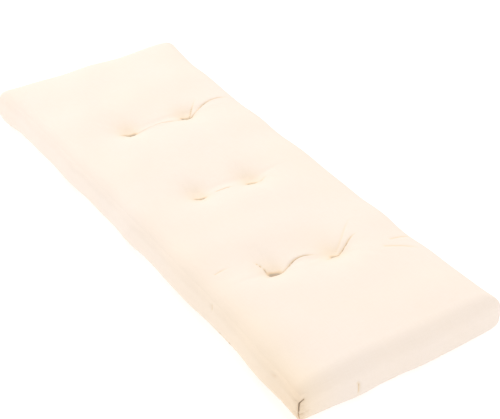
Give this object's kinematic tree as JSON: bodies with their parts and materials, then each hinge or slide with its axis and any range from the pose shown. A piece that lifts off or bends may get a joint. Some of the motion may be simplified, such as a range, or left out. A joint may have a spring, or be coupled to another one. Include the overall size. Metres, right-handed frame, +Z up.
{
  "type": "futon mattress",
  "caption": "Thin rectangular cotton futon mattress: sewn twill casing over batting and a foam core, held together by deep hand-tied tufts.",
  "frame": {"origin": "centre of the underside, where the mattress rests", "axes": "+X along the length, towards the machine-sewn end; the seam at the -X end is closed by hand; +Y across the width; +Z up through the thickness"},
  "size_m": [0.9144, 0.3556, 0.0762],
  "materials": {
    "casing_twill": "unbleached cotton twill, matt",
    "cotton_batting": "carded cotton batting, matt",
    "foam": "open-cell polyurethane foam, matt",
    "sewing_thread": "spun cotton thread, matt",
    "waxed_twine": "waxed cotton twine, slight sheen",
    "felt": "pressed wool felt, matt"
  },
  "bodies": {
    "root": {"closing_stitches": "sewing_thread", "corner_thread_far_left": "sewing_thread", "corner_thread_far_right": "sewing_thread", "corner_thread_near_left": "sewing_thread", "corner_thread_near_right": "sewing_thread", "edge_roll": "cotton_batting", "foam_core": "foam", "lower_batt_1": "cotton_batting", "lower_batt_2": "cotton_batting", "lower_batt_3": "cotton_batting", "lower_seam_thread": "sewing_thread", "top_panel": "casing_twill", "tuft_twine_far_left": "waxed_twine", "tuft_twine_far_right": "waxed_twine", "tuft_twine_middle_left": "waxed_twine", "tuft_twine_middle_right": "waxed_twine", "tuft_twine_near_left": "waxed_twine", "tuft_twine_near_right": "waxed_twine", "tuft_washer_far_left": "felt", "tuft_washer_far_right": "felt", "tuft_washer_middle_left": "felt", "tuft_washer_middle_right": "felt", "tuft_washer_near_left": "felt", "tuft_washer_near_right": "felt", "under_panel": "casing_twill", "upper_batt_1": "cotton_batting", "upper_batt_2": "cotton_batting", "upper_batt_3": "cotton_batting"}
  },
  "joints": []
}
